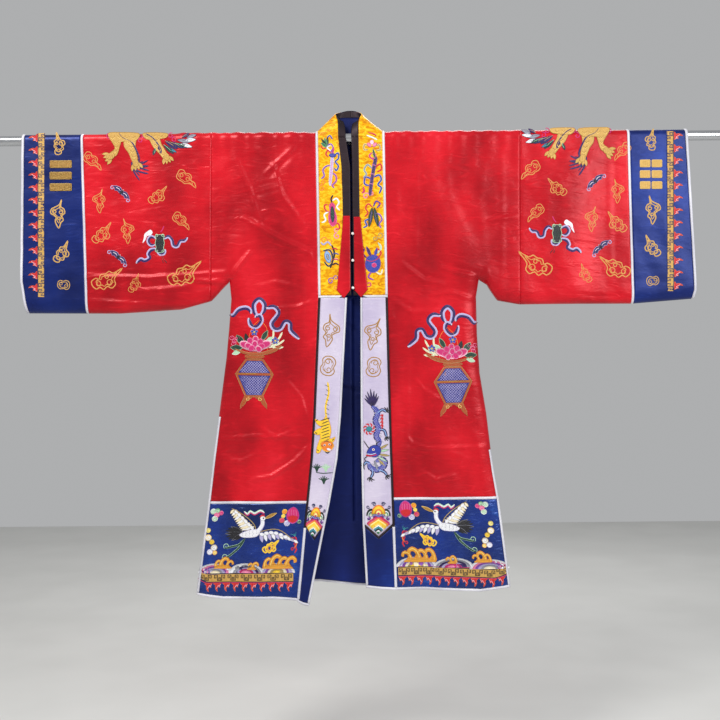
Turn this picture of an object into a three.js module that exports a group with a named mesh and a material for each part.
// Taoist priest robe hung open on a display rod. Millimetres, +Z up.
// X runs along the rod, the robe's front looks along -Y, and the origin is the middle of the rod's axis.
// Every cut piece is a closed wall of cloth. The pieces meet edge to edge with a fine gap at each seam.
import * as THREE from 'three';

// Rod
const ROD_RADIUS = 14;
const ROD_LENGTH = 2100;
const ROD_SIDES = 32;

// Cloth
const WALL = 1.5; // thickness of one wall of cloth
const SEAM_GAP = 0.3; // air between two pieces at a seam
const REST_RADIUS = 16; // from the rod's axis to the middle of the wall that bends over it
const EDGE_HALF_GAP = 2.2; // half the depth of the robe right at a closed seam
const SEAM_ROUND = 38; // how far from a closed seam the depth is full again
const DEEPER_PER_MM = 0.005; // how much fuller the robe hangs with each millimetre down
const FREE_EDGE_OPENING = 9; // how far apart the free side edges stand at the hem
const LINING_INSET = 2.2; // from the middle of a wall to the middle of the layer inside it

// Levels, from the rod down
const ARMPIT_Z = -401;
const COLLAR_END_Z = -450;
const POINT_Z = -1084; // shoulders of the pointed band ends
const POINT_DROP = 34;
const PIPING = 6;
const EDGE_PIPING = 5;
const TRIM_DROP = 8; // height of the dark trim under the point

// Outline of each half, measured from the centre line outwards. Tables run from top to bottom.
const LEFT = {
  name: 'left',
  sign: -1,
  armpit: 345,
  slitZ: -781,
  hemTopZ: -1018,
  facingEdge: [{ z: 0, u: 15 }, { z: -60, u: 3.4 }, { z: -450, u: 2.7 }],
  collarFreeEdge: [{ z: 0, u: 36 }, { z: -60, u: 28 }, { z: -213, u: 24 }, { z: -450, u: 24 }],
  frontEdge: [
    { z: -445, u: 15 }, { z: -848, u: 39 }, { z: -932, u: 50 }, { z: -1030, u: 70 },
    { z: -1086, u: 82 }, { z: -1240, u: 117 }, { z: -1304, u: 131 },
  ],
  bandEdge: [{ z: 0, u: 99 }, { z: -445, u: 95 }, { z: -848, u: 115 }, { z: -1086, u: 140 }, { z: -1290, u: 161 }],
  sideEdge: [
    { z: -401, u: 345 }, { z: -454, u: 340 }, { z: -605, u: 354 }, { z: -773, u: 377 },
    { z: -873, u: 391 }, { z: -1020, u: 409 }, { z: -1276, u: 443 },
  ],
  sleeveSeam: [{ z: 0, u: 391 }, { z: -480, u: 397 }],
  cuffSeam: [{ z: 0, u: 758 }, { z: -480, u: 748 }],
  cuffEdge: [{ z: 0, u: 923 }, { z: -412, u: 930 }, { z: -480, u: 915 }],
  sleeveBottom: [
    { u: 345, z: -401 }, { u: 365, z: -420 }, { u: 385, z: -443 }, { u: 407, z: -464 },
    { u: 483, z: -478 }, { u: 651, z: -488 }, { u: 930, z: -485 },
  ],
  hem: [{ u: 131, z: -1305 }, { u: 150, z: -1302 }, { u: 165, z: -1287 }, { u: 414, z: -1290 }, { u: 443, z: -1277 }],
  backHem: [{ u: 0, z: -1262 }, { u: 114, z: -1250 }, { u: 443, z: -1262 }],
  frontLift: 26, // how far the free front corner swings forward at the hem
};
const RIGHT = {
  name: 'right',
  sign: 1,
  armpit: 356,
  slitZ: -880,
  hemTopZ: -1011,
  facingEdge: [{ z: 0, u: 1 }, { z: -60, u: 2.4 }, { z: -450, u: 2.7 }],
  collarFreeEdge: [{ z: 0, u: 21.5 }, { z: -450, u: 23.5 }],
  frontEdge: [{ z: -445, u: 23 }, { z: -849, u: 21 }, { z: -1084, u: 24 }, { z: -1260, u: 32 }],
  bandEdge: [{ z: 0, u: 94 }, { z: -445, u: 99 }, { z: -849, u: 107 }, { z: -1084, u: 113 }, { z: -1260, u: 118 }],
  sideEdge: [
    { z: -401, u: 356 }, { z: -460, u: 346 }, { z: -645, u: 353 }, { z: -779, u: 374 },
    { z: -914, u: 389 }, { z: -1015, u: 406 }, { z: -1263, u: 436 },
  ],
  sleeveSeam: [{ z: 0, u: 474 }, { z: -480, u: 472 }],
  cuffSeam: [{ z: 0, u: 781 }, { z: -480, u: 790 }],
  cuffEdge: [{ z: 0, u: 944 }, { z: -454, u: 966 }, { z: -470, u: 960 }],
  sleeveBottom: [
    { u: 356, z: -401 }, { u: 374, z: -405 }, { u: 391, z: -440 }, { u: 419, z: -472 },
    { u: 581, z: -471 }, { u: 790, z: -472 }, { u: 966, z: -459 },
  ],
  hem: [{ u: 32, z: -1260 }, { u: 93, z: -1268 }, { u: 210, z: -1267 }, { u: 392, z: -1277 }, { u: 436, z: -1263 }],
  backHem: [{ u: 0, z: -1262 }, { u: 238, z: -1277 }, { u: 400, z: -1283 }, { u: 436, z: -1273 }],
  frontLift: 8,
};

// Stations of the standing collar, from the shoulder's front to the middle of the back.
// u, y and z place the free edge, and fold is how far the dark facing has turned inside, in degrees.
const COLLAR_LEFT = [
  { u: 36.5, y: -15, z: 24, fold: 20 },
  { u: 37.5, y: -9, z: 47, fold: 50 },
  { u: 42, y: 0, z: 64, fold: 90 },
  { u: 43.5, y: 10, z: 71.5, fold: 130 },
  { u: 36, y: 19, z: 76, fold: 165 },
  { u: 24, y: 26, z: 80.5, fold: 180 },
  { u: 11, y: 29.5, z: 84, fold: 180 },
  { u: 0, y: 30.5, z: 84.5, fold: 180 },
];
const COLLAR_RIGHT = [
  { u: 21.5, y: -15, z: 22, fold: 20 },
  { u: 22, y: -9, z: 44, fold: 50 },
  { u: 26, y: 0, z: 60, fold: 90 },
  { u: 30, y: 9, z: 68, fold: 130 },
  { u: 28, y: 17.5, z: 75, fold: 170 },
  { u: 19.5, y: 25, z: 80, fold: 180 },
  { u: 10, y: 29.3, z: 83.5, fold: 180 },
  { u: 0, y: 30.5, z: 84.5, fold: 180 },
];
const FACING_WIDTH = 21;
const LINING_LOW = 15; // how far above the sewn edge the neck's lining ends

// The largest folds: a soft ridge (depth above 0) or trough along a line, x and z at both ends.
const FRONT_FOLDS = [
  { x0: -330, z0: -370, x1: -170, z1: -90, width: 52, depth: 5 },
  { x0: 335, z0: -370, x1: 190, z1: -110, width: 52, depth: 4 },
  { x0: -245, z0: -520, x1: -270, z1: -1290, width: 62, depth: 6 },
  { x0: -330, z0: -900, x1: -345, z1: -1280, width: 50, depth: -4 },
  { x0: 235, z0: -540, x1: 265, z1: -1290, width: 62, depth: 5 },
  { x0: 160, z0: -700, x1: 165, z1: -1270, width: 48, depth: -4 },
  { x0: -545, z0: -120, x1: -535, z1: -430, width: 60, depth: 4 },
  { x0: -660, z0: -90, x1: -670, z1: -430, width: 58, depth: -4 },
  { x0: 610, z0: -100, x1: 620, z1: -420, width: 58, depth: 4 },
  { x0: 720, z0: -90, x1: 712, z1: -420, width: 55, depth: -3 },
];
const BACK_FOLDS = [
  { x0: -300, z0: -330, x1: -120, z1: -70, width: 55, depth: 4 },
  { x0: 310, z0: -330, x1: 130, z1: -80, width: 55, depth: 5 },
  { x0: -210, z0: -480, x1: -235, z1: -1250, width: 64, depth: 6 },
  { x0: 30, z0: -420, x1: 20, z1: -1240, width: 60, depth: -4 },
  { x0: 220, z0: -500, x1: 250, z1: -1260, width: 64, depth: 6 },
  { x0: -600, z0: -120, x1: -590, z1: -430, width: 60, depth: 4 },
  { x0: 560, z0: -110, x1: 570, z1: -420, width: 60, depth: 4 },
  { x0: 690, z0: -90, x1: 700, z1: -410, width: 56, depth: -3 },
];
const FOLD_FADE = 90; // below the rod the folds grow in over this height

// Rows of the cloth, counted from the hem up to the rod
const ROW = {
  hem: 0, hemPiping: 1, hemMiddle: 2, pointOuter: 3, pointInner: 4, hemTopLow: 5, hemTop: 6,
  slit: 8, collarEnd: 12, collarPiping: 13, armpit: 14, rod: 20,
};
const SLEEVE_SHARES = [1, 0.95, 0.82, 0.62, 0.4, 0.2, 0]; // share of the sleeve's depth in the rows from armpit to rod
const ARC_STEPS = 6; // facets of the wall where it bends over the rod

// The back neckline: low in the middle, then up over the rod by the arc's steps
const NECKLINE_Z = [-14, -12, -4];
const NECKLINE_STEPS = { 3: 5, 4: 4, 5: 3 };
const NECK_SEAM_HEIGHT = 11; // height of the row of cloth below the neckline
const NECK_CLEAR = 1.6; // how far the neckline stands off behind the rod

// Columns of the cloth, counted from the front edge or the centre back out to the cuff
const COLUMN = {
  edge: 0, edgePiping: 1, freeEdge: 2, middle: 3, bandPiping: 4, band: 5,
  sidePiping: 9, side: 10, sleeveSeam: 13, cuffPiping: 17, cuffSeam: 18, cuffEdgePiping: 20, cuffEdge: 21,
};
const BACK_SHARES = [0, 0.2, 0.4, 0.6, 0.8, 1]; // back columns inside the neck's width
const NECK_SHARES = [0, 0.34, 0.66, 0.88, 0.96, 1]; // the same columns at the neckline
const ROOT_SHARES = [0, 0.2, 0.45, 1]; // columns of the sleeve root
const LINING_COLUMN = 8; // the back lining shows at most this far out

// Ribbons and buttons
const RIBBONS = [
  { half: LEFT, top: -221, shoulder: -429, tip: -452, inner: 5, topWidth: 18, endWidth: 38 },
  { half: RIGHT, top: -224, shoulder: -429, tip: -450, inner: 6, topWidth: 18, endWidth: 37 },
];
const RIBBON_ROWS = 5;
const BUTTONS = [{ x: 2.4, z: -271 }, { x: 2.2, z: -346 }, { x: 2, z: -423 }];
const BUTTON_RADIUS = 4;

const lerp = THREE.MathUtils.lerp;

// Reads one value from a table by straight lines between its rows.
function readTable(table, key, value, at) {
  const sorted = [...table].sort((a, b) => a[key] - b[key]);
  if (at <= sorted[0][key]) return sorted[0][value];
  for (let i = 1; i < sorted.length; i += 1) {
    const low = sorted[i - 1];
    const high = sorted[i];
    if (at <= high[key]) return lerp(low[value], high[value], (at - low[key]) / (high[key] - low[key]));
  }
  return sorted[sorted.length - 1][value];
}

function edgeAt(table, z) {
  return readTable(table, 'z', 'u', z);
}

function heightAt(table, u) {
  return readTable(table, 'u', 'z', u);
}

// How far a point of the x, z plane lies from the line of a fold.
function distanceToFold(fold, x, z) {
  const alongX = fold.x1 - fold.x0;
  const alongZ = fold.z1 - fold.z0;
  const raw = ((x - fold.x0) * alongX + (z - fold.z0) * alongZ) / (alongX * alongX + alongZ * alongZ);
  const share = THREE.MathUtils.clamp(raw, 0, 1);
  return Math.hypot(x - fold.x0 - alongX * share, z - fold.z0 - alongZ * share);
}

function foldDepth(folds, x, z) {
  let depth = 0;
  for (const fold of folds) {
    depth += fold.depth * Math.exp(-((distanceToFold(fold, x, z) / fold.width) ** 2));
  }
  return depth * THREE.MathUtils.clamp(-z / FOLD_FADE, 0, 1);
}

// How far a point lies from the closed seam that runs along the sleeve's bottom and down the side.
function distanceToSeam(half, u, z) {
  if (z < ARMPIT_Z) return Math.max(0, edgeAt(half.sideEdge, z) - u);
  if (u > half.armpit) return Math.max(0, z - heightAt(half.sleeveBottom, u));
  return Math.hypot(half.armpit - u, z - ARMPIT_Z);
}

// Half the depth of the robe: full in the middle, round and narrow at the closed seams.
function halfDepth(half, u, z) {
  const full = REST_RADIUS - DEEPER_PER_MM * z;
  const near = 1 - Math.min(1, distanceToSeam(half, u, z) / SEAM_ROUND);
  const round = Math.sqrt(1 - near * near);
  const belowSlit = THREE.MathUtils.clamp((half.slitZ - z) / 350, 0, 1);
  const edge = EDGE_HALF_GAP + FREE_EDGE_OPENING * belowSlit;
  return { depth: lerp(edge, full, round), round };
}

// The collar and the bands lie flat, so the folds start outside them.
function outsideBand(half, u, z) {
  return THREE.MathUtils.smoothstep(u, edgeAt(half.bandEdge, z), edgeAt(half.bandEdge, z) + 90);
}

function frontY(half, u, z) {
  const { depth, round } = halfDepth(half, u, z);
  const down = THREE.MathUtils.clamp((-500 - z) / 800, 0, 1);
  const fromEdge = Math.max(0, u - edgeAt(half.frontEdge, z));
  const lift = half.frontLift * down * down * Math.exp(-fromEdge / 130);
  return -depth - lift - foldDepth(FRONT_FOLDS, half.sign * u, z) * round * outsideBand(half, u, z);
}

function backY(half, u, z) {
  const { depth, round } = halfDepth(half, u, z);
  return depth + foldDepth(BACK_FOLDS, half.sign * u, z) * round;
}

// Height of a row before the outline bends it.
function rowZ(half, row) {
  const hemZ = half.hem[2].z;
  if (row === ROW.hem) return hemZ;
  if (row === ROW.hemPiping) return hemZ + PIPING;
  if (row === ROW.hemMiddle) return lerp(hemZ, POINT_Z, 0.45);
  if (row === ROW.pointOuter) return POINT_Z - TRIM_DROP;
  if (row === ROW.pointInner) return POINT_Z;
  if (row === ROW.hemTopLow) return half.hemTopZ - PIPING;
  if (row <= ROW.slit) return lerp(half.hemTopZ, half.slitZ, (row - ROW.hemTop) / (ROW.slit - ROW.hemTop));
  if (row <= ROW.collarEnd) {
    return lerp(half.slitZ, COLLAR_END_Z, (row - ROW.slit) / (ROW.collarEnd - ROW.slit));
  }
  if (row === ROW.collarPiping) return COLLAR_END_Z + PIPING;
  return ARMPIT_Z * SLEEVE_SHARES[row - ROW.armpit];
}

// Distance of a column from the centre line at the height of a row.
function columnU(half, back, row, column) {
  const z = rowZ(half, row);
  const side = row >= ROW.armpit ? half.armpit : edgeAt(half.sideEdge, z);
  const sleeveZ = z * 1.2;
  const band = back ? edgeAt(half.bandEdge, 0) : edgeAt(half.bandEdge, z);
  const piping = band - PIPING;
  if (back && column <= COLUMN.band) return band * (row === ROW.rod ? NECK_SHARES : BACK_SHARES)[column];
  if (column < COLUMN.bandPiping) {
    const onCollar = row >= ROW.collarPiping;
    const edge = edgeAt(onCollar ? half.facingEdge : half.frontEdge, z);
    const inner = onCollar ? edgeAt(half.collarFreeEdge, z) : edge + EDGE_PIPING;
    if (column === COLUMN.edge) return edge;
    if (column === COLUMN.edgePiping) return onCollar ? (edge + inner) / 2 : inner;
    if (column === COLUMN.freeEdge) return onCollar ? inner : lerp(inner, piping, 0.25);
    return (inner + piping) / 2;
  }
  if (column === COLUMN.bandPiping) return piping;
  if (column < COLUMN.sidePiping) {
    const share = (column - COLUMN.band) / (COLUMN.sidePiping - COLUMN.band);
    return lerp(band, side - PIPING, share);
  }
  if (column === COLUMN.sidePiping) return side - PIPING;
  const seam = edgeAt(half.sleeveSeam, sleeveZ);
  if (column <= COLUMN.sleeveSeam) return lerp(side, seam, ROOT_SHARES[column - COLUMN.side]);
  const cuffSeam = edgeAt(half.cuffSeam, sleeveZ);
  if (column <= COLUMN.cuffPiping) {
    const share = (column - COLUMN.sleeveSeam) / (COLUMN.cuffPiping - COLUMN.sleeveSeam);
    return lerp(seam, cuffSeam - PIPING, share);
  }
  const cuffEdge = edgeAt(half.cuffEdge, sleeveZ);
  if (column === COLUMN.cuffSeam) return cuffSeam;
  if (column === COLUMN.cuffEdge) return cuffEdge;
  const share = (column - COLUMN.cuffSeam) / (COLUMN.cuffEdgePiping - COLUMN.cuffSeam);
  return lerp(cuffSeam, cuffEdge - PIPING, share);
}

// Height of a row at one column, with the hem's line, the pointed band end and the sleeve's bottom.
function pointZ(half, back, row, column, u) {
  const z = rowZ(half, row);
  const hemZ = heightAt(back ? half.backHem : half.hem, u);
  if (row === ROW.hem) return hemZ;
  if (row === ROW.hemPiping) return hemZ + PIPING;
  if (row === ROW.hemMiddle) return lerp(hemZ, POINT_Z, 0.45);
  if (!back && (row === ROW.pointOuter || row === ROW.pointInner)) {
    const drops = { [COLUMN.freeEdge]: 0.5, [COLUMN.middle]: 1 };
    return z - POINT_DROP * (drops[column] ?? 0);
  }
  if (row >= ROW.armpit && u > half.armpit) {
    return heightAt(half.sleeveBottom, u) * SLEEVE_SHARES[row - ROW.armpit];
  }
  return z;
}

// Shared corner points of the cloth. Their normals come from every face that meets there.
const corners = new Map();
const pieces = new Map();

function addCorner(key, point) {
  if (!corners.has(key)) corners.set(key, { point, normal: new THREE.Vector3() });
  return key;
}

function frontCorner(half, row, column) {
  const key = `${half.name} front ${row} ${column}`;
  if (corners.has(key)) return key;
  const u = columnU(half, false, row, column);
  const z = pointZ(half, false, row, column, u);
  return addCorner(key, new THREE.Vector3(half.sign * u, frontY(half, u, z), z));
}

function backCorner(half, row, column) {
  const key = column === 0 ? `centre back ${row}` : `${half.name} back ${row} ${column}`;
  if (corners.has(key)) return key;
  const u = columnU(half, true, row, column);
  const underNeck = row === ROW.rod && column < NECKLINE_Z.length;
  const z = underNeck ? NECKLINE_Z[column] - NECK_SEAM_HEIGHT : pointZ(half, true, row, column, u);
  return addCorner(key, new THREE.Vector3(half.sign * u, backY(half, u, z), z));
}

// Step 0 of the arc is the front row at the rod, and the last step is the back row.
function arcCorner(half, step, column) {
  if (step === 0) return frontCorner(half, ROW.rod, column);
  if (step === ARC_STEPS) return backCorner(half, ROW.rod, column);
  const turn = (Math.PI * step) / ARC_STEPS;
  const u = columnU(half, true, ROW.rod, column);
  const point = new THREE.Vector3(half.sign * u, -REST_RADIUS * Math.cos(turn), REST_RADIUS * Math.sin(turn));
  return addCorner(`${half.name} arc ${step} ${column}`, point);
}

function necklineCorner(half, column) {
  if (column in NECKLINE_STEPS) return arcCorner(half, NECKLINE_STEPS[column], column);
  const key = column === 0 ? 'centre neckline' : `${half.name} neckline ${column}`;
  const u = columnU(half, true, ROW.rod, column);
  return addCorner(key, new THREE.Vector3(half.sign * u, REST_RADIUS + NECK_CLEAR, NECKLINE_Z[column]));
}

// A face is given anticlockwise as seen on the right half. The left half is its mirror.
function turned(half, keys) {
  return half.sign > 0 ? keys : [keys[0], ...keys.slice(1).reverse()];
}

function addFace(half, piece, keys) {
  if (!pieces.has(piece)) pieces.set(piece, []);
  pieces.get(piece).push(turned(half, keys));
}

// Which piece a cell of the front belongs to, by its lower row and inner column.
function frontPiece(half, row, column) {
  const onBand = column > COLUMN.edge && column < COLUMN.bandPiping;
  const own = (name) => `${name}_${half.name}`;
  if (row >= ROW.collarPiping && column < COLUMN.freeEdge) return 'neck_facing';
  if (row >= ROW.collarPiping && column < COLUMN.bandPiping) return 'collar';
  if (row >= ROW.collarPiping && column < COLUMN.band) return 'piping_collar';
  if (row === ROW.collarEnd && column < COLUMN.freeEdge) return null;
  if (row === ROW.collarEnd && column < COLUMN.band) return 'piping_collar';
  if (row === ROW.hem || (column === COLUMN.edge && row < ROW.collarEnd)) return own('piping_hem');
  if (column === COLUMN.sidePiping && row < ROW.slit) return own('piping_hem');
  if (row < ROW.pointOuter && onBand) return own('placket');
  if (row < ROW.pointOuter && column === COLUMN.bandPiping) return own('piping_hem');
  if (row === ROW.pointOuter && onBand) return own('band_trim');
  if (row < ROW.collarEnd && onBand) return own('band');
  if (row < ROW.collarEnd && column === COLUMN.bandPiping) return own('band_trim');
  if (row < ROW.hemTopLow) return own('hem_front');
  if (row === ROW.hemTopLow) return own('piping_hem');
  return own('body');
}

function backPiece(half, row, column) {
  if (row === ROW.hem || row === ROW.hemTopLow) return 'piping_back';
  if (column === COLUMN.sidePiping && row < ROW.slit) return 'piping_back';
  if (row < ROW.hemTopLow) return 'hem_back';
  return `body_${half.name}`;
}

function sleevePiece(half, column) {
  if (column < COLUMN.sleeveSeam) return `body_${half.name}`;
  if (column < COLUMN.cuffPiping) return `sleeve_${half.name}`;
  if (column < COLUMN.cuffSeam) return `piping_cuff_${half.name}`;
  if (column < COLUMN.cuffEdgePiping) return `cuff_${half.name}`;
  return `piping_edge_${half.name}`;
}

// The front and back panels, with the side seam closed between the slit and the armpit.
function layPanels(half) {
  for (let row = ROW.hem; row < ROW.rod; row += 1) {
    for (let column = 0; column < COLUMN.side; column += 1) {
      const piece = frontPiece(half, row, column);
      if (piece) {
        addFace(half, piece, [
          frontCorner(half, row, column), frontCorner(half, row, column + 1),
          frontCorner(half, row + 1, column + 1), frontCorner(half, row + 1, column),
        ]);
      }
      addFace(half, backPiece(half, row, column), [
        backCorner(half, row, column), backCorner(half, row + 1, column),
        backCorner(half, row + 1, column + 1), backCorner(half, row, column + 1),
      ]);
    }
  }
  for (let row = ROW.slit; row < ROW.armpit; row += 1) {
    addFace(half, `body_${half.name}`, [
      frontCorner(half, row, COLUMN.side), backCorner(half, row, COLUMN.side),
      backCorner(half, row + 1, COLUMN.side), frontCorner(half, row + 1, COLUMN.side),
    ]);
  }
}

// The cloth over the rod, from the neck out to the cuff, and the back of the neck.
function layShoulder(half) {
  for (let column = COLUMN.band; column < COLUMN.cuffEdge; column += 1) {
    for (let step = 0; step < ARC_STEPS; step += 1) {
      addFace(half, sleevePiece(half, column), [
        arcCorner(half, step, column), arcCorner(half, step, column + 1),
        arcCorner(half, step + 1, column + 1), arcCorner(half, step + 1, column),
      ]);
    }
  }
  for (let column = 0; column < NECKLINE_Z.length; column += 1) {
    addFace(half, `body_${half.name}`, [
      necklineCorner(half, column), necklineCorner(half, column + 1),
      backCorner(half, ROW.rod, column + 1), backCorner(half, ROW.rod, column),
    ]);
  }
  for (let column = NECKLINE_Z.length; column < COLUMN.band; column += 1) {
    const neckStep = NECKLINE_STEPS[column];
    for (let step = ARC_STEPS - 1; step >= neckStep; step -= 1) {
      addFace(half, `body_${half.name}`, [
        arcCorner(half, step + 1, column), arcCorner(half, step, column),
        arcCorner(half, step, column + 1), arcCorner(half, step + 1, column + 1),
      ]);
    }
    addFace(half, `body_${half.name}`, [
      arcCorner(half, neckStep, column), arcCorner(half, neckStep - 1, column + 1),
      arcCorner(half, neckStep, column + 1),
    ]);
  }
}

// The sleeve root, sleeve and cuff: a flat tube that closes along its bottom.
function laySleeve(half) {
  for (let column = COLUMN.side; column < COLUMN.cuffEdge; column += 1) {
    const piece = sleevePiece(half, column);
    for (let row = ROW.armpit; row < ROW.rod; row += 1) {
      addFace(half, piece, [
        frontCorner(half, row, column), frontCorner(half, row, column + 1),
        frontCorner(half, row + 1, column + 1), frontCorner(half, row + 1, column),
      ]);
      addFace(half, piece, [
        backCorner(half, row, column), backCorner(half, row + 1, column),
        backCorner(half, row + 1, column + 1), backCorner(half, row, column + 1),
      ]);
    }
    addFace(half, piece, [
      backCorner(half, ROW.armpit, column), backCorner(half, ROW.armpit, column + 1),
      frontCorner(half, ROW.armpit, column + 1), frontCorner(half, ROW.armpit, column),
    ]);
  }
}

// Sewn edge of the standing collar at each station, from the front row at the rod to the centre back.
function sewnEdge(half) {
  const keys = [frontCorner(half, ROW.rod, COLUMN.band)];
  for (let step = 1; step <= ARC_STEPS / 2; step += 1) keys.push(arcCorner(half, step, COLUMN.band));
  for (let column = COLUMN.bandPiping; column >= 0; column -= 1) keys.push(necklineCorner(half, column));
  return keys;
}

// One station of the standing collar: a straight line from its sewn edge to its free edge.
// Its outward side follows both edges, so a layer inside can be laid parallel to it.
function collarStation(half, sewnPoints, freePoints, i) {
  const from = sewnPoints[i];
  const to = freePoints[i];
  const width = to.distanceTo(from);
  const across = to.clone().sub(from).divideScalar(width);
  const along = (points) => {
    const next = points[i + 1] ?? points[i].clone().setX(-points[i - 1].x);
    return next.clone().sub(points[i - 1]);
  };
  const outward = (reach) => along(sewnPoints).lerp(along(freePoints), reach / width)
    .cross(across).normalize().multiplyScalar(half.sign);
  const at = (reach, inset = 0) => from.clone().addScaledVector(across, reach)
    .addScaledVector(outward(reach), -inset);
  return { width, across, outward, at };
}

// The dark facing turns from beside the collar's free edge to inside it, station by station.
function facingLine(station, fold) {
  const { width, across, outward, at } = station;
  if (fold === 180) return [0, 0.5, 1].map((share) => at(width - share * FACING_WIDTH, LINING_INSET));
  const turn = THREE.MathUtils.degToRad(fold);
  const aside = 0.4 + 0.9 * Math.sin(turn) - 0.8 * (1 - Math.cos(turn));
  const root = at(width, (LINING_INSET / 2) * (1 - Math.cos(turn))).addScaledVector(across, aside);
  const reach = across.clone().multiplyScalar(Math.cos(turn)).addScaledVector(outward(width), -Math.sin(turn));
  return [0, 0.5, 1].map((share) => root.clone().addScaledVector(reach, share * FACING_WIDTH));
}

// The standing collar with its piping, the facing, and the blue lining below the facing at the back.
function layCollar(half, stations) {
  const sewn = sewnEdge(half);
  const sewnPoints = sewn.map((key) => corners.get(key).point);
  const frontKeys = (columns) => columns.map((column) => frontCorner(half, ROW.rod, column));
  const outer = [frontKeys([COLUMN.bandPiping, COLUMN.middle, COLUMN.freeEdge])];
  const inner = [frontKeys([COLUMN.freeEdge, COLUMN.edgePiping, COLUMN.edge])];
  const linings = [];
  const freePoints = [corners.get(inner[0][0]).point];
  stations.forEach((s) => freePoints.push(new THREE.Vector3(half.sign * s.u, s.y, s.z)));
  stations.forEach(({ fold }, i) => {
    const place = i === stations.length - 1 ? 'centre' : half.name;
    const station = collarStation(half, sewnPoints, freePoints, i + 1);
    const name = (layer, points) => points.map((point, k) => addCorner(`${place} ${layer} ${i} ${k}`, point));
    const facingStart = station.width - FACING_WIDTH;
    const reaches = [PIPING, (PIPING + facingStart) / 2, facingStart, station.width];
    outer.push(name('collar', reaches.map((reach) => station.at(reach))));
    inner.push(name('facing', facingLine(station, fold)));
    if (fold === 180) {
      const low = [facingStart - SEAM_GAP, reaches[1], LINING_LOW];
      linings.push(name('lining', low.map((reach) => station.at(reach, LINING_INSET))));
    }
  });
  for (let i = 0; i < stations.length; i += 1) {
    const near = outer[i];
    const far = outer[i + 1];
    addFace(half, 'piping_collar', [near[0], sewn[i], sewn[i + 1], far[0]]);
    addFace(half, 'collar', [near[1], near[0], far[0], far[1]]);
    if (i === 0) {
      addFace(half, 'collar', [near[2], near[1], far[1], far[2], far[3]]);
    } else {
      addFace(half, 'collar', [near[2], near[1], far[1], far[2]]);
      addFace(half, 'collar', [near[3], near[2], far[2], far[3]]);
    }
    for (const k of [0, 1]) {
      addFace(half, 'neck_facing', [inner[i][k], inner[i + 1][k], inner[i + 1][k + 1], inner[i][k + 1]]);
    }
  }
  for (let i = 1; i < linings.length; i += 1) {
    for (const k of [0, 1]) {
      addFace(half, 'neck_lining', [linings[i - 1][k], linings[i - 1][k + 1], linings[i][k + 1], linings[i][k]]);
    }
  }
}

for (const [half, stations] of [[LEFT, COLLAR_LEFT], [RIGHT, COLLAR_RIGHT]]) {
  layPanels(half);
  layShoulder(half);
  laySleeve(half);
  layCollar(half, stations);
}

// The back lining uses the back's own faces below the rod, to be moved inside.
const liningFaces = [];
for (const half of [LEFT, RIGHT]) {
  for (let row = ROW.hemPiping; row < ROW.rod - 1; row += 1) {
    for (let column = 0; column < LINING_COLUMN; column += 1) {
      const keys = [
        backCorner(half, row, column), backCorner(half, row + 1, column),
        backCorner(half, row + 1, column + 1), backCorner(half, row, column + 1),
      ];
      liningFaces.push(turned(half, keys));
    }
  }
}

function faceNormal(keys) {
  const points = keys.map((key) => corners.get(key).point);
  const normal = new THREE.Vector3();
  for (let i = 1; i < points.length - 1; i += 1) {
    const first = points[i].clone().sub(points[0]);
    const second = points[i + 1].clone().sub(points[0]);
    normal.add(first.cross(second));
  }
  return normal;
}

for (const faces of pieces.values()) {
  for (const keys of faces) {
    const normal = faceNormal(keys);
    for (const key of keys) corners.get(key).normal.add(normal);
  }
}
for (const { normal } of corners.values()) normal.normalize();

// Directed edges that only one face of the piece uses.
function openEdges(faces) {
  const seen = new Map();
  for (const keys of faces) {
    keys.forEach((from, i) => {
      const to = keys[(i + 1) % keys.length];
      seen.set(`${from}>${to}`, { from, to, keys });
    });
  }
  return [...seen.values()].filter(({ from, to }) => !seen.has(`${to}>${from}`));
}

// Draws the edge of a piece in by half a seam gap, so that neighbours stay apart.
function drawnIn(faces) {
  const inward = new Map();
  for (const { from, to, keys } of openEdges(faces)) {
    const along = corners.get(to).point.clone().sub(corners.get(from).point);
    const direction = faceNormal(keys).cross(along).normalize();
    for (const key of [from, to]) inward.set(key, [...(inward.get(key) ?? []), direction]);
  }
  const points = new Map();
  for (const key of new Set(faces.flat())) {
    const point = corners.get(key).point.clone();
    const [a, b] = inward.get(key) ?? [];
    if (a && b) point.addScaledVector(a.clone().add(b), SEAM_GAP / 2 / Math.max(0.5, 1 + a.dot(b)));
    points.set(key, point);
  }
  return points;
}

// A closed wall of cloth round the faces of a piece, its middle moved out by the offset.
function wallOf(faces, offset = 0, thickness = WALL) {
  const middles = drawnIn(faces);
  const index = new Map();
  const positions = [];
  for (const [key, middle] of middles) {
    index.set(key, index.size * 2);
    const { normal } = corners.get(key);
    positions.push(...middle.clone().addScaledVector(normal, offset + thickness / 2).toArray());
    positions.push(...middle.clone().addScaledVector(normal, offset - thickness / 2).toArray());
  }
  const triangles = [];
  for (const keys of faces) {
    const ids = keys.map((key) => index.get(key));
    for (let i = 1; i < ids.length - 1; i += 1) {
      triangles.push(ids[0], ids[i], ids[i + 1]);
      triangles.push(ids[0] + 1, ids[i + 1] + 1, ids[i] + 1);
    }
  }
  for (const { from, to } of openEdges(faces)) {
    const a = index.get(from);
    const b = index.get(to);
    if (from < to) triangles.push(b, a, b + 1, a, a + 1, b + 1);
    else triangles.push(b, a, a + 1, b, a + 1, b + 1);
  }
  const geometry = new THREE.BufferGeometry();
  geometry.setAttribute('position', new THREE.Float32BufferAttribute(positions, 3));
  geometry.setIndex(triangles);
  geometry.computeVertexNormals();
  return geometry;
}

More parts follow.
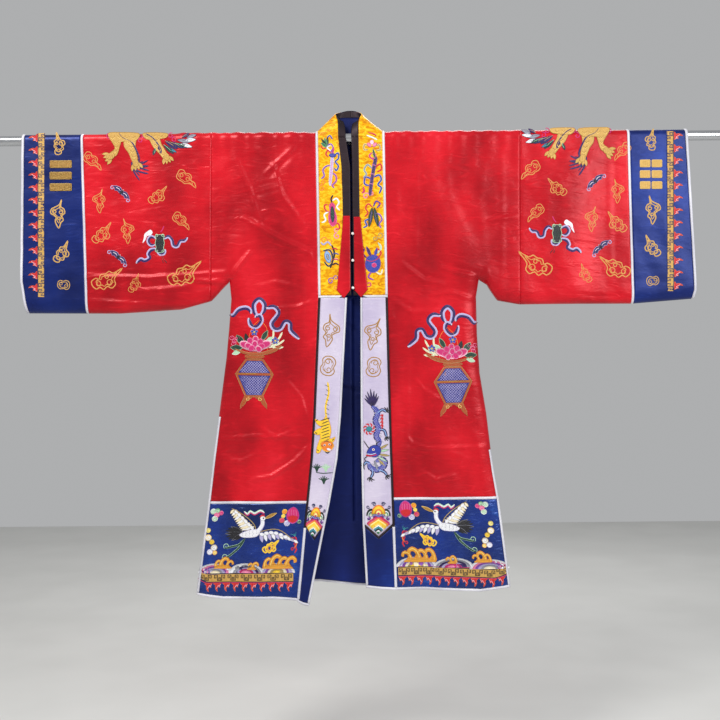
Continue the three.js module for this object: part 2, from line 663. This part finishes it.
// Materials
const RED_SATIN = { color: 0xc81c28, roughness: 0.42, metalness: 0 };
const ROYAL_SATIN = { color: 0x1e3282, roughness: 0.42, metalness: 0 };
const NAVY_SATIN = { color: 0x141e5a, roughness: 0.42, metalness: 0 };
const YELLOW_SATIN = { color: 0xf0b818, roughness: 0.4, metalness: 0 };
const PALE_SATIN = { color: 0xd8cde0, roughness: 0.5, metalness: 0 };
const DARK_SATIN = { color: 0x2a2428, roughness: 0.5, metalness: 0 };
const LINING_BLUE = { color: 0x16235f, roughness: 0.6, metalness: 0 };
const WHITE_PIPING = { color: 0xeceaf0, roughness: 0.5, metalness: 0 };
const STEEL = { color: 0xc4c8cc, roughness: 0.25, metalness: 1 };
const PEARL = { color: 0xf2f0ea, roughness: 0.2, metalness: 0 };

const LOOKS = [
  { start: 'body', look: RED_SATIN },
  { start: 'sleeve', look: RED_SATIN },
  { start: 'cuff', look: ROYAL_SATIN },
  { start: 'hem', look: NAVY_SATIN },
  { start: 'placket', look: NAVY_SATIN },
  { start: 'collar', look: YELLOW_SATIN },
  { start: 'band_trim', look: DARK_SATIN },
  { start: 'band', look: PALE_SATIN },
  { start: 'piping', look: WHITE_PIPING },
  { start: 'neck_facing', look: DARK_SATIN },
  { start: 'neck_lining', look: LINING_BLUE },
];

const robe = new THREE.Group();

function addMesh(name, geometry, look) {
  const mesh = new THREE.Mesh(geometry, new THREE.MeshStandardMaterial(look));
  mesh.name = name;
  robe.add(mesh);
  return mesh;
}

const rod = addMesh('rod', new THREE.CylinderGeometry(ROD_RADIUS, ROD_RADIUS, ROD_LENGTH, ROD_SIDES), STEEL);
rod.rotation.z = Math.PI / 2;

for (const [name, faces] of pieces) {
  const { look } = LOOKS.find(({ start }) => name.startsWith(start));
  addMesh(name, wallOf(faces), look);
}
addMesh('lining_back', wallOf(liningFaces, -LINING_INSET), LINING_BLUE);

// A ribbon lies on the facing and the collar, moved out by one wall and a gap, and ends in a point.
const RIBBON_OUT = WALL + SEAM_GAP + 0.2;

for (const { half, top, shoulder, tip, inner, topWidth, endWidth } of RIBBONS) {
  const rows = [];
  for (let row = 0; row <= RIBBON_ROWS; row += 1) {
    const share = row / RIBBON_ROWS;
    const z = lerp(shoulder, top, share);
    const width = lerp(endWidth, topWidth, share);
    const line = [];
    for (const side of [0, 0.5, 1]) {
      const u = inner + width * side;
      const pointed = row === 0 && side === 0.5 ? tip : z;
      const point = new THREE.Vector3(half.sign * u, frontY(half, u, pointed), pointed);
      line.push(addCorner(`${half.name} ribbon ${row} ${side}`, point));
      corners.get(line[line.length - 1]).normal.set(0, -1, 0);
    }
    rows.push(line);
  }
  const faces = [];
  for (let row = 0; row < RIBBON_ROWS; row += 1) {
    for (let column = 0; column < 2; column += 1) {
      const keys = [rows[row][column], rows[row][column + 1], rows[row + 1][column + 1], rows[row + 1][column]];
      faces.push(turned(half, keys));
    }
  }
  addMesh(`ribbon_${half.name}`, wallOf(faces, RIBBON_OUT), RED_SATIN);
}

// Ball buttons at the inner edge of the right facing.
BUTTONS.forEach(({ x, z }, i) => {
  const button = addMesh(`button_${i + 1}`, new THREE.SphereGeometry(BUTTON_RADIUS, 12, 8), PEARL);
  const surface = frontY(RIGHT, x, z) - WALL / 2;
  button.position.set(x, surface - SEAM_GAP - BUTTON_RADIUS, z);
});

export default robe;
